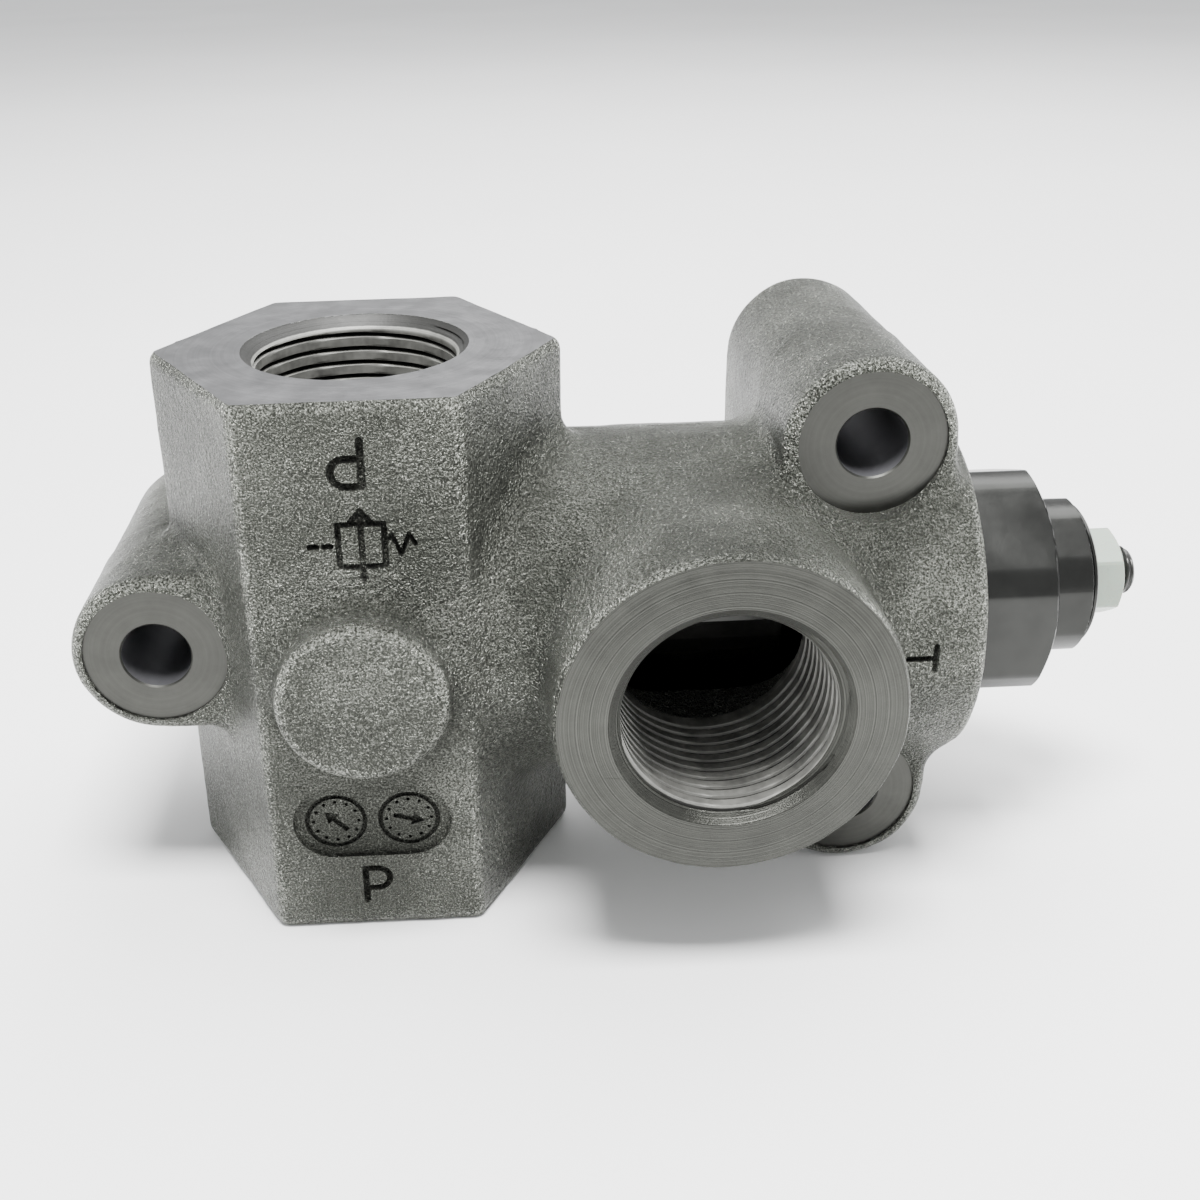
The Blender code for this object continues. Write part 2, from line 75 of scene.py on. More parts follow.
def local(point):
    """A row-frame point in millimetres from the valve's own reference point."""
    return (Vector(point) - AXIS) / METRE


# Casting, mm
COLUMN_FLATS = 54.0
COLUMN_CORNER = 2.0
COLUMN_HALF = local(BODY_HIGH).z
BARREL_R = 27.0
BARREL_END = local(BODY_HIGH).x
TANK_X = 51.0
TANK_BOSS_R = 25.0
TANK_FACE = local(BODY_LOW).y
PAD_R = 12.5
PAD_FACE = -33.0
PAD_ROOT = -20.0
LUG_FRONT = -16.0
LUG_BACK = local(BODY_HIGH).y
LUG_HOLE_R = 5.25
SPOT_FACE_R = 11.0
SPOT_FACE_Y = -15.6
RIGHT_LUG_X = 75.0
RIGHT_LUG_Z = 30.0
LUGS = {
    "left": (LEFT_LUG_X, 0.0),
    "upper": (RIGHT_LUG_X, RIGHT_LUG_Z),
    "lower": (RIGHT_LUG_X, -RIGHT_LUG_Z),
}
LEFT_WEB_ROOT = -16.0       # the webs behind the lugs start inside the column and the barrel
RIGHT_WEB_ROOT = 12.0
PARTING_Y = 5.0

# Cast edges, the fillets where each part joins the ones before it, and metal left for machining, mm
EDGES = {"column": 2.2, "barrel": 1.2, "tank": 2.4, "lug": 1.8, "pad": 1.1}
FILLETS = {"barrel": 4.0, "tank": 3.5, "left": 3.0, "upper": 4.0, "lower": 4.0, "pad": 3.0}
STOCK = {"column": 0.5, "barrel": 0.2, "tank": 0.9, "lug": 0.6}
TANK_DRAFT = 0.012
TANK_UNDERSIZE = 0.25       # leaves room for the draft and the rough skin
LUG_UNDERSIZE = 0.1

# Rough skin: (height, wavelength) of its waves, and the step and flash along the parting line, mm
SKIN_WAVES = ((0.10, 7.0), (0.05, 2.2))
PARTING_STEP, PARTING_STEP_WIDTH = 0.3, 0.5
FLASH_HEIGHT, FLASH_WIDTH, FLASH_WAVE = 0.28, 0.45, 5.0

# Cast-in marks, mm
MARK_DEPTH = 1.0
SYMBOL_AT = (1.2, 22.2)
PANEL_AT = (-0.3, -23.7)
PANEL_SIZE = (24.0, 12.4)
PANEL_DEPTH = 1.2
INSERT_DEPTH = 2.2

# 1 inch pipe thread, mm
THREAD_MINOR_R = 15.15
THREAD_MAJOR_R = 16.6
THREAD_PITCH = 2.309
THREAD_MOUTH_R = 17.15
THREAD_START = 0.6          # below the mouth
THREAD_FADE = 0.3

# Bores, mm
PRESSURE_THREAD_DEPTH, PRESSURE_BORE_DEPTH = 20.5, 22.0
TANK_THREAD_DEPTH, TANK_BORE_DEPTH = 24.5, 40.0
GALLERY_R = 14.0
NOSE_BORE_R = 10.0
CHAMBER_R = 16.5
CHAMBER_START = 34.0
CHAMBER_END = 72.0
CAVITY_R = 13.5
CAVITY_MOUTH_R = 15.4

# Cartridge along X, mm
HEAD_START = BARREL_END + 0.3
HEAD_END = local(HEAD_HIGH).x
CAP_START = HEAD_END + 0.3
CAP_END = local(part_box("adjuster_cap")[1]).x
NUT_START = CAP_END + 0.3
NUT_END = local(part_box("lock_nut")[1]).x
SCREW_START = local(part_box("adjusting_screw")[0]).x
SCREW_END = local(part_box("adjusting_screw")[1]).x
SCREW_R = 4.0
SCREW_PITCH = 1.25
SCREW_THREAD_DEPTH = 0.42
SCREW_CHAMFER = 0.7
SCREW_SOCKET_FLATS = 4.0
SCREW_SOCKET_DEPTH = 4.5
HEAD_FLATS = 34.5
HEAD_BAR_R = 18.75
CAP_FLATS = 24.4
CAP_BAR_R = 12.75
CAP_LIP = 0.9
CAP_LIP_R = 11.6
NUT_FLATS = 13.0
HEAD_TURN, CAP_TURN, NUT_TURN = 39.0, 37.0, 25.0    # degrees from a flat facing down
CORE_OVERLAP = 0.4          # how far a new hexagon reaches into the kept CAD core

# Camera, in mm from the same reference point and in radians, fitted to the photograph's edges
CAMERA_AT = Vector((17.263, -203.884, 103.142))
CAMERA_DOWN = 0.4065272
CAMERA_YAW = 0.0331084
CAMERA_ROLL = -0.0260405
CAMERA_LENS = 42.118
CAMERA_SHIFT = (0.0671, -0.0769)


# ---------------------------------------------------------------- mesh tools

ALONG_X = Matrix.Rotation(math.pi / 2, 4, "Y")
ALONG_Z = Matrix.Identity(4)
DOWN_Z = Matrix.Rotation(math.pi, 4, "X")
FACING_FRONT = Matrix.Rotation(math.pi / 2, 4, "X")


def place(x=0.0, y=0.0, z=0.0, turn=ALONG_Z):
    """Matrix from a shape's own millimetres to the row frame."""
    return Matrix.Translation(AXIS + Vector((x, y, z)) * METRE) @ turn @ Matrix.Scale(METRE, 4)


def mesh_object(name, verts, faces, matrix, smooth=True):
    """New object whose mesh is already in the row frame."""
    mesh = bpy.data.meshes.new(name)
    mesh.from_pydata(verts, [], faces)
    mesh.transform(matrix)
    mesh.validate()
    if smooth:
        mesh.shade_smooth()
    obj = bpy.data.objects.new(name, mesh)
    bpy.context.scene.collection.objects.link(obj)
    return obj


def skin_rows(name, rows, matrix):
    """Closed skin over rings of points, with a fan over each end. Each row goes once round."""
    count = len(rows[0])
    verts = [tuple(point) for row in rows for point in row]
    verts += [tuple(sum(axis) / count for axis in zip(*row)) for row in (rows[0], rows[-1])]
    faces = []
    for row in range(len(rows) - 1):
        for step in range(count):
            after = (step + 1) % count
            faces.append((row * count + step, row * count + after,
                          (row + 1) * count + after, (row + 1) * count + step))
    last = (len(rows) - 1) * count
    for step in range(count):
        after = (step + 1) % count
        faces.append((after, step, len(verts) - 2))
        faces.append((last + step, last + after, len(verts) - 1))
    return mesh_object(name, verts, faces, matrix)


def turned(name, outline, matrix, steps=96):
    """Solid of revolution about its own Z axis from (place on the axis, radius), low end first."""
    turns = np.linspace(0, 2 * np.pi, steps, endpoint=False)
    rows = [[(radius * math.cos(a), radius * math.sin(a), along) for a in turns]
            for along, radius in outline]
    return skin_rows(name, rows, matrix)


def combine(obj, tool, operation="DIFFERENCE"):
    """Cut a closed tool out of obj, or join or intersect them, and remove the tool."""
    modifier = obj.modifiers.new("combine", "BOOLEAN")
    modifier.operation = operation
    modifier.solver = "MANIFOLD"
    modifier.object = tool
    bpy.context.view_layer.update()
    evaluated = obj.evaluated_get(bpy.context.evaluated_depsgraph_get())
    result = bpy.data.meshes.new_from_object(evaluated)
    obj.modifiers.clear()
    old = obj.data
    obj.data = result
    bpy.data.meshes.remove(old)
    bpy.data.objects.remove(tool)


def flat_shape(name, outlines, depth, matrix):
    """Solid from 2D closed outlines (holes included), depth thick and centred on its own plane."""
    curve = bpy.data.curves.new(name, "CURVE")
    curve.dimensions = "2D"
    curve.fill_mode = "BOTH"
    curve.extrude = depth / 2
    for outline in outlines:
        spline = curve.splines.new("POLY")
        spline.points.add(len(outline) - 1)
        for point, (x, y) in zip(spline.points, outline):
            point.co = (x, y, 0, 1)
        spline.use_cyclic_u = True
    return curve_to_mesh(name, curve, matrix)


def stroke(name, path, width, depth, matrix):
    """Tool for a stroke along a 2D path, with round ends and a round bottom, like a pattern letter."""
    path = [Vector(point).to_3d() for point in path]
    sides, boxiness = 16, 0.6
    tip_angles = np.linspace(0.15, math.pi / 2, 4, endpoint=False)
    sections = []
    for index, point in enumerate(path):
        along = (path[min(index + 1, len(path) - 1)] - path[max(index - 1, 0)]).normalized()
        if index == 0:
            sections += [(point - along * width / 2 * math.cos(a), along, math.sin(a)) for a in tip_angles]
        sections.append((point, along, 1.0))
        if index == len(path) - 1:
            sections += [(point + along * width / 2 * math.cos(a), along, math.sin(a))
                         for a in tip_angles[::-1]]
    rows = []
    for centre, along, size in sections:
        across = Vector((-along.y, along.x, 0))
        row = []
        for side in range(sides):
            angle = 2 * math.pi * side / sides
            out, down = (math.copysign(abs(part) ** boxiness, part)
                         for part in (math.cos(angle), math.sin(angle)))
            row.append(centre + across * out * size * width / 2 + Vector((0, 0, down * size * depth)))
        rows.append(row)
    return skin_rows(name, rows, matrix)


def letter_p(name, height, width, line, matrix):
    """Capital P as a stem and a bowl, centred."""
    left, right = (line - width) / 2, (width - line) / 2
    low, high = (line - height) / 2, (height - line) / 2
    bowl_r = height * 0.26
    centre_x, centre_y = right - bowl_r, high - bowl_r
    bowl = [(left, high)]
    bowl += [(centre_x + bowl_r * math.cos(a), centre_y + bowl_r * math.sin(a))
             for a in np.linspace(math.pi / 2, -math.pi / 2, 9)]
    bowl.append((left, high - 2 * bowl_r))
    stem = [(left, high), (left, low)]
    return [stroke(f"{name}_{part}", path, line, MARK_DEPTH, matrix)
            for part, path in (("stem", stem), ("bowl", bowl))]


def curve_to_mesh(name, curve, matrix):
    """Closed mesh of a filled curve, with its faces turned outwards."""
    source = bpy.data.objects.new(name + "_curve", curve)
    bpy.context.scene.collection.objects.link(source)
    bpy.context.view_layer.update()
    mesh = bpy.data.meshes.new_from_object(source.evaluated_get(bpy.context.evaluated_depsgraph_get()))
    bpy.data.objects.remove(source)
    shape = bmesh.new()
    shape.from_mesh(mesh)
    bmesh.ops.remove_doubles(shape, verts=shape.verts, dist=1e-4)
    bmesh.ops.recalc_face_normals(shape, faces=shape.faces)
    shape.to_mesh(mesh)
    shape.free()
    mesh.transform(matrix)
    obj = bpy.data.objects.new(name, mesh)
    bpy.context.scene.collection.objects.link(obj)
    return obj


def circle(radius, steps=48):
    turns = np.linspace(0, 2 * np.pi, steps, endpoint=False)
    return [(radius * math.cos(a), radius * math.sin(a)) for a in turns]


def sharpen(obj, degrees):
    """Smooth shading that keeps sharp edges and isn't pulled about by slivers beside a cut."""
    obj.data.shade_smooth()
    obj.data.set_sharp_from_angle(angle=math.radians(degrees))
    modifier = obj.modifiers.new("even_normals", "WEIGHTED_NORMAL")
    modifier.mode = "FACE_AREA"
    modifier.keep_sharp = True


# ---------------------------------------------------------------- casting as a distance field

VOXEL = 0.5
MARGIN = 3.0
RIM_CELLS = 7


def hexagon_distance(u, v, half_flats):
    """Distance to a hexagon with flats across v and corners along u."""
    cos30, sin30 = math.cos(math.radians(30)), 0.5
    u, v = np.abs(u), np.abs(v)
    push = 2 * np.minimum(-cos30 * u + sin30 * v, 0)
    u, v = u + push * cos30, v - push * sin30
    side = half_flats * math.tan(math.radians(30))
    u = u - np.clip(u, -side, side)
    v = v - half_flats
    return np.hypot(u, v) * np.sign(v)


def rounded_extrusion(flat_distance, along_distance, edge):
    """Solid between a flat outline's walls and two end planes, with its edges rounded."""
    flat_distance = flat_distance + edge
    along_distance = along_distance + edge
    outside = np.hypot(np.maximum(flat_distance, 0), np.maximum(along_distance, 0))
    return outside + np.minimum(np.maximum(flat_distance, along_distance), 0) - edge


def fillet_union(first, second, radius):
    """Union of two distance fields with a hollow fillet of that radius where they meet."""
    near = np.hypot(np.maximum(radius - first, 0), np.maximum(radius - second, 0))
    return np.maximum(radius, np.minimum(first, second)) - near


def between(coordinate, low, high):
    """Distance to the slab from low to high, negative inside it."""
    return np.maximum(low - coordinate, coordinate - high)


def smooth_noise(axes, wavelength, rng):
    """Seeded noise over the grid, about one unit high, with the given wavelength in millimetres."""
    weights, counts = [], []
    for axis in axes:
        steps = (axis.ravel() - axis.min()) / wavelength
        count = int(steps.max()) + 2
        index = np.minimum(steps.astype(int), count - 2)
        share = steps - index
        share = share * share * (3 - 2 * share)
        weight = np.zeros((len(steps), count), np.float32)
        weight[np.arange(len(steps)), index] = 1 - share
        weight[np.arange(len(steps)), index + 1] = share
        weights.append(weight)
        counts.append(count)
    field = rng.uniform(-1, 1, counts).astype(np.float32)
    for number, weight in enumerate(weights):
        field = np.moveaxis(np.tensordot(weight, field, axes=(1, number)), 0, number)
    return field


def casting_field(x, y, z):
    """Distance in millimetres to the rough casting, before any machining."""
    column = rounded_extrusion(
        hexagon_distance(x, y, COLUMN_FLATS / 2 - COLUMN_CORNER) - COLUMN_CORNER,
        between(z, -COLUMN_HALF - STOCK["column"], COLUMN_HALF + STOCK["column"]), EDGES["column"])
    barrel = rounded_extrusion(
        np.hypot(y, z) - BARREL_R, between(x, 0.0, BARREL_END + STOCK["barrel"]), EDGES["barrel"])
    tank_draft = (y - TANK_FACE) * TANK_DRAFT
    tank = rounded_extrusion(
        np.hypot(x - TANK_X, z) - TANK_BOSS_R - tank_draft + TANK_UNDERSIZE,
        between(y, TANK_FACE - STOCK["tank"], 0.0), EDGES["tank"])
    solid = fillet_union(column, barrel, FILLETS["barrel"])
    solid = fillet_union(solid, tank, FILLETS["tank"])

    behind_parting = 0.5 + 0.5 * np.tanh((y - PARTING_Y) / PARTING_STEP_WIDTH)
    for name, (lug_x, lug_z) in LUGS.items():
        lug = np.hypot(x - lug_x, z - lug_z) - LUG_R + LUG_UNDERSIZE
        if name == "left":
            web = np.maximum(between(x, lug_x, LEFT_WEB_ROOT), between(z, -LUG_R, LUG_R))
        else:
            side = math.copysign(1, lug_z)
            web = np.maximum(between(side * z, RIGHT_WEB_ROOT, RIGHT_LUG_Z),
                             between(x, lug_x - LUG_R, lug_x + LUG_R))
        outline = np.minimum(lug, web) + PARTING_STEP * behind_parting
        along = between(y, LUG_FRONT - LUG_UNDERSIZE, LUG_BACK + STOCK["lug"])
        solid = fillet_union(solid, rounded_extrusion(outline, along, EDGES["lug"]), FILLETS[name])
    pad = rounded_extrusion(np.hypot(x, z) - PAD_R, between(y, PAD_FACE, PAD_ROOT), EDGES["pad"])
    return fillet_union(solid, pad, FILLETS["pad"])


def box_blur(field, cells):
    """Moving average over an odd number of cells along each axis."""
    for axis in range(3):
        widths = [(0, 0)] * 3
        widths[axis] = (cells // 2 + 1, cells // 2)
        sums = np.cumsum(np.pad(field, widths, mode="edge"), axis=axis, dtype=np.float64)
        count = field.shape[axis]
        upto = np.take(sums, range(cells, cells + count), axis)
        field = (upto - np.take(sums, range(count), axis)) / cells
    return field


def make_rough_casting():
    """Skin of the casting's distance field. Its "rim" attribute is high on outer edges."""
    low = local(BODY_LOW) - Vector((MARGIN,) * 3)
    high = local(BODY_HIGH) + Vector((MARGIN,) * 3)
    axes = [np.arange(a, b, VOXEL, dtype=np.float32) for a, b in zip(low, high)]
    x, y, z = np.meshgrid(*axes, indexing="ij", sparse=True)
    solid = casting_field(x, y, z)
    rim = box_blur(solid, RIM_CELLS) - solid
    rng = np.random.default_rng(11)
    for height, wavelength in SKIN_WAVES:
        solid += height * smooth_noise((x, y, z), wavelength, rng)
    flash = FLASH_HEIGHT * np.exp(-((y - PARTING_Y) / FLASH_WIDTH) ** 2)
    patches = np.clip(0.45 + 0.9 * smooth_noise((x, y * 0, z), FLASH_WAVE, rng), 0, 1)
    solid -= flash * patches
    # The rough skin doesn't swell past the CAD's ends. The facing cuts settle the machined sides.
    solid = np.maximum(solid, np.maximum(between(x, local(BODY_LOW).x, BARREL_END),
                                         between(z, -COLUMN_HALF - 1, COLUMN_HALF + 1)))
    band = 4 * VOXEL
    grid = openvdb.FloatGrid(background=band)
    grid.copyFromArray(np.clip(solid, -band, band).astype(np.float32))
    points, _, quads = grid.convertToPolygons(isovalue=0.0, adaptivity=0.0)
    cells = np.clip(np.rint(points).astype(int), 0, np.array(solid.shape) - 1)
    rim = rim[tuple(cells.T)].astype(np.float32)
    points = points * VOXEL + np.array([axis[0] for axis in axes])
    mesh = bpy.data.meshes.new("cast_body")
    mesh.vertices.add(len(points))
    mesh.vertices.foreach_set("co", points.astype(np.float32).ravel())
    mesh.loops.add(quads.size)
    mesh.loops.foreach_set("vertex_index", quads[:, ::-1].astype(np.int32).ravel())
    mesh.polygons.add(len(quads))
    mesh.polygons.foreach_set("loop_start", np.arange(0, quads.size, 4, dtype=np.int32))
    mesh.update(calc_edges=True)
    mesh.attributes.new("rim", "FLOAT", "POINT").data.foreach_set("value", rim)
    mesh.transform(place())
    obj = bpy.data.objects.new("cast_body", mesh)
    bpy.context.scene.collection.objects.link(obj)
    return obj


# ---------------------------------------------------------------- machining

def thread_height(phase):
    """Pipe thread profile, 0 at the crest of the wall and 1 at its root, with both rounded."""
    flank_start, flank_width, rounding = 0.66, 0.30, 0.35
    rise = 1 - abs(2 * (phase % 1.0) - 1)
    rise = min(max((rise - flank_start) / flank_width, 0), 1)
    return rise * rise * (3 - 2 * rise) * rounding + rise * (1 - rounding)


def port_tool(name, matrix, threaded_depth, bore_depth):
    """Threaded socket along its own Z: its mouth is at 0, and the socket runs down from there."""
    steps, per_turn = 72, 10
    mouth_depth = THREAD_MOUTH_R - THREAD_MINOR_R
    depth = THREAD_MAJOR_R - THREAD_MINOR_R
    above = 1.5
    rows = []
    for level in np.arange(-bore_depth, above + 1e-6, THREAD_PITCH / per_turn):
        wall = THREAD_MOUTH_R + min(level, 0) if level > -mouth_depth else THREAD_MINOR_R
        fade = min(max((level + threaded_depth) / THREAD_PITCH, 0), 1)
        fade *= min(max((-THREAD_START - level) / THREAD_FADE, 0), 1)
        row = []
        for step in range(steps):
            angle = 2 * math.pi * step / steps
            rise = depth * thread_height(level / THREAD_PITCH - step / steps) * fade
            radius = max(wall, THREAD_MINOR_R + rise)
            row.append((radius * math.cos(angle), radius * math.sin(angle), level))
        rows.append(row)
    return skin_rows(name, rows, matrix)


def half_space(name, origin, direction):
    """Big block that starts at origin and fills everything along direction, for facing cuts.

    Its face is a grid with lines closer than the smallest hole that a later tool makes in it.
    """
    half, depth, cells = 120.0, 20.0, 30
    steps = np.linspace(-half, half, cells + 1)
    verts = [(x, y, level) for level in (0.0, depth) for x in steps for y in steps]
    row, sheet = cells + 1, (cells + 1) ** 2
    faces = []
    for x in range(cells):
        for y in range(cells):
            a = x * row + y
            faces.append((a, a + 1, a + row + 1, a + row))
            faces.append((a + sheet, a + row + sheet, a + row + 1 + sheet, a + 1 + sheet))
    for step in range(cells):
        rims = [(step, step + 1), (cells * row + step + 1, cells * row + step),
                ((step + 1) * row, step * row), (step * row + cells, (step + 1) * row + cells)]
        faces += [(a, a + sheet, b + sheet, b) for a, b in rims]
    turn = Vector((0, 0, 1)).rotation_difference(Vector(direction)).to_matrix().to_4x4()
    return mesh_object(name, verts, faces, place(*origin, turn), smooth=False)


def front_tool(x, z, y=-COLUMN_FLATS / 2):
    """Place of a flat tool on the casting's front, its own Y up."""
    return place(x, y, z, FACING_FRONT)


def arrow(length, head, width):
    """Outline of an arrow along X, centred."""
    neck = length / 2 - head
    tail = [(-length / 2, -width / 2), (neck, -width / 2), (neck, -head * 0.62)]
    return tail + [(length / 2, 0)] + [(x, -y) for x, y in reversed(tail)]


def stadium(length, width):
    """Outline of a bar along X with round ends, centred."""
    reach, radius = (length - width) / 2, width / 2
    outline = []
    for side in (1, -1):
        for a in np.linspace(-math.pi / 2, math.pi / 2, 16):
            outline.append((side * (reach + radius * math.cos(a)), side * radius * math.sin(a)))
    return outline


def port_letters():
    """P at both pressure ports, the upper one upside down, and T on its side beside the tank port."""
    turned_over = Matrix.Rotation(math.pi, 4, "Z")
    on_side = Matrix.Rotation(-math.pi / 2, 4, "Z")
    tools = letter_p("mark_upper_port", 7.8, 5.4, 1.15, front_tool(-0.3, 34.3) @ turned_over)
    tools += letter_p("mark_lower_port", 7.0, 4.7, 1.0, front_tool(-0.1, -35.2))
    tank = front_tool(81.6, 0.4, -BARREL_R) @ on_side
    tools.append(stroke("mark_tank_bar", [(-1.9, 1.8), (1.9, 1.8)], 0.95, MARK_DEPTH, tank))
    tools.append(stroke("mark_tank_stem", [(0, 1.8), (0, -2.2)], 0.95, MARK_DEPTH, tank))
    return tools


def relief_symbol():
    """The hydraulic symbol for a relief valve: a box with its flow arrow, a pilot line and a spring."""
    half, reach = 3.2, 5.2
    corners = [(-half, -half), (half, -half), (half, half), (-half, half)]
    sides = zip(corners, corners[1:] + corners[:1])
    lines = [(f"side_{number}", ends) for number, ends in enumerate(sides)]
    lines.append(("flow", ((0, -reach), (0, reach))))
    lines += [(f"tip_{side}", ((side * 1.5, reach - 1.8), (0, reach))) for side in (-1, 1)]
    lines += [(f"pilot_{start}", ((start, 0), (start + 0.9, 0))) for start in (-half - 2.0, -half - 4.0)]
    at = front_tool(*SYMBOL_AT)
    tools = [stroke(f"mark_symbol_{name}", ends, 0.9, MARK_DEPTH, at) for name, ends in lines]
    zigzag = [(half, 0.0), (half + 1.0, 1.5), (half + 2.2, -1.5), (half + 3.4, 1.5), (half + 4.2, 0.0)]
    for number, ends in enumerate(zip(zigzag, zigzag[1:])):
        tools.append(stroke(f"mark_symbol_spring_{number}", ends, 0.7, MARK_DEPTH, at))
    return tools


def date_inserts():
    """A shallow panel with two foundry date inserts, each a ring with twelve ticks and a pointer."""
    from_middle, tick_ring_r, tick_r = 5.5, 3.4, 0.28
    ring = [circle(4.7), circle(4.0)]
    tools = [flat_shape("mark_panel", [stadium(*PANEL_SIZE)], PANEL_DEPTH, front_tool(*PANEL_AT))]
    for side in (-1, 1):
        x, z = PANEL_AT[0] + side * from_middle, PANEL_AT[1]
        centre = front_tool(x, z)
        tools.append(flat_shape(f"mark_insert_{side}", ring, INSERT_DEPTH, centre))
        pointer = centre @ Matrix.Rotation(math.radians(60 - 75 * side), 4, "Z")
        tools.append(flat_shape(f"mark_pointer_{side}", [arrow(4.8, 1.9, 0.8)], INSERT_DEPTH, pointer))
        for tick, (tick_x, tick_z) in enumerate(circle(tick_ring_r, 12)):
            at = front_tool(x + tick_x, z + tick_z)
            tools.append(flat_shape(f"mark_tick_{side}_{tick}", [circle(tick_r, 10)], INSERT_DEPTH, at))
    return tools


def marks():
    """One tool for all the cast-in marks."""
    merged, *others = port_letters() + relief_symbol() + date_inserts()
    for tool in others:
        combine(merged, tool, "UNION")
    return merged


def make_casting(materials):
    """The rough casting, faced, bored and marked, with each face's finish."""
    body = make_rough_casting()
    faces = [
        half_space("face_top", (0, 0, COLUMN_HALF), (0, 0, 1)),
        half_space("face_bottom", (0, 0, -COLUMN_HALF), (0, 0, -1)),
        half_space("face_tank", (0, TANK_FACE, 0), (0, -1, 0)),
        half_space("face_barrel", (BARREL_END, 0, 0), (1, 0, 0)),
        half_space("face_back", (0, LUG_BACK, 0), (0, 1, 0)),
    ]
    for tool in faces:
        combine(body, tool)
    gallery = [(-COLUMN_HALF - 1, GALLERY_R), (COLUMN_HALF + 1, GALLERY_R)]
    combine(body, turned("bore_gallery", gallery, place()))
    pressure_depths = (PRESSURE_THREAD_DEPTH, PRESSURE_BORE_DEPTH)
    combine(body, port_tool("bore_upper", place(z=COLUMN_HALF), *pressure_depths))
    combine(body, port_tool("bore_lower", place(z=-COLUMN_HALF, turn=DOWN_Z), *pressure_depths))
    tank = place(TANK_X, TANK_FACE, 0, FACING_FRONT)
    combine(body, port_tool("bore_tank", tank, TANK_THREAD_DEPTH, TANK_BORE_DEPTH))
    cavity = [
        (0, NOSE_BORE_R), (CHAMBER_START, NOSE_BORE_R),
        (CHAMBER_START, CHAMBER_R), (CHAMBER_END, CHAMBER_R),
        (CHAMBER_END, CAVITY_R), (BARREL_END - 2.2, CAVITY_R),
        (BARREL_END, CAVITY_MOUTH_R), (BARREL_END + 1, CAVITY_MOUTH_R),
    ]
    combine(body, turned("bore_cavity", cavity, place(turn=ALONG_X)))
    front = -SPOT_FACE_Y
    hole = [(-LUG_BACK - 1, LUG_HOLE_R), (front - 0.25, LUG_HOLE_R),
            (front + 0.25, LUG_HOLE_R + 0.5), (front + 2, LUG_HOLE_R + 0.5)]
    spot = [(front, SPOT_FACE_R), (front + 8, SPOT_FACE_R)]
    for name, (x, z) in LUGS.items():
        lug = place(x, 0, z, FACING_FRONT)
        combine(body, turned(f"bore_{name}_lug", hole, lug, 64))
        combine(body, turned(f"spot_{name}_lug", spot, lug))
    combine(body, marks())
    assign_surfaces(body, materials)
    sharpen(body, 32)
    return body


FINISHES = ("cast", "milled", "faced_barrel", "faced_tank", "spot",
            "port_bore", "tank_bore", "bore_painted_shade", "drilled", "recess_painted_shade")


def assign_surfaces(body, materials):
    """Give each face of the casting the finish that its place says, cast unless a rule below fits."""
    body.data.materials.clear()
    for name in FINISHES:
        body.data.materials.append(materials[name])
    count = len(body.data.polygons)
    centre = np.zeros(count * 3, np.float32)
    normal = np.zeros(count * 3, np.float32)
    body.data.polygons.foreach_get("center", centre)
    body.data.polygons.foreach_get("normal", normal)
    x, y, z = ((centre.reshape(-1, 3) - np.array(AXIS)) / METRE).T
    normal = normal.reshape(-1, 3)
    index = np.zeros(count, np.int32)

    def finish(name, where):
        index[where] = FINISHES.index(name)

    flat, square, near = 0.05, 0.999, 0.1
    on_column_end = (np.abs(np.abs(z) - COLUMN_HALF) < flat) & (np.abs(x) < COLUMN_FLATS * 0.6)
    on_back = np.abs(y - LUG_BACK) < flat
    finish("milled", (on_column_end | on_back) & (np.abs(normal).max(1) > square))
    finish("faced_barrel", (np.abs(x - BARREL_END) < flat) & (normal[:, 0] > square))
    finish("faced_tank", np.abs(y - TANK_FACE) < flat)

    # Bores
    port_r = np.hypot(x, y)
    below_end = np.abs(z) < COLUMN_HALF - flat
    socket_end = COLUMN_HALF - PRESSURE_BORE_DEPTH
    finish("port_bore", (port_r < THREAD_MOUTH_R + near) & below_end & (np.abs(z) > socket_end - 1))
    # Painted shade: the gallery below the sockets takes near-black iron
    finish("bore_painted_shade", (port_r < GALLERY_R + 0.2) & (np.abs(z) <= socket_end + 1))
    in_tank_port = np.hypot(x - TANK_X, z) < THREAD_MOUTH_R + near
    finish("tank_bore", in_tank_port & (y > TANK_FACE + flat) & (y < -CHAMBER_R + 1))
    finish("faced_tank", in_tank_port & (y < TANK_FACE + THREAD_MOUTH_R - THREAD_MINOR_R))
    # Painted shade: the chamber inside the barrel takes near-black iron too
    finish("bore_painted_shade", (np.hypot(y, z) < CHAMBER_R + near) & (x > 12) & (x < BARREL_END - flat))
    for lug_x, lug_z in LUGS.values():
        lug_r = np.hypot(x - lug_x, z - lug_z)
        finish("spot", (lug_r < SPOT_FACE_R + near) & (np.abs(y - SPOT_FACE_Y) < 0.3))
        finish("drilled", (lug_r < LUG_HOLE_R + near) & (y > SPOT_FACE_Y + flat) & (y < LUG_BACK - flat))

    # Cast-in marks: what lies below the front flat, the panel's floor or the barrel's skin
    sunk = y + COLUMN_FLATS / 2
    end_r = PANEL_SIZE[1] / 2
    past_ends = np.maximum(np.abs(x - PANEL_AT[0]) - PANEL_SIZE[0] / 2 + end_r, 0)
    in_panel = np.hypot(past_ends, z - PANEL_AT[1]) < end_r + near
    on_front = (np.abs(x) < 13) & (np.abs(z) < COLUMN_HALF - 2) & (sunk < 2)
    # Painted shade: the sunk faces of the marks, here and on the barrel's T below, take a darker copy of
    # the cast skin
    finish("recess_painted_shade", on_front & (sunk > np.where(in_panel, 0.72, 0.33)))
    on_barrel = (np.abs(x - 81) < 5) & (np.abs(z) < 4) & (y < -25)
    finish("recess_painted_shade", on_barrel & (np.hypot(y, z) < BARREL_R - 0.35))
    body.data.polygons.foreach_set("material_index", index)
    body.data.update()


# ---------------------------------------------------------------- cartridge

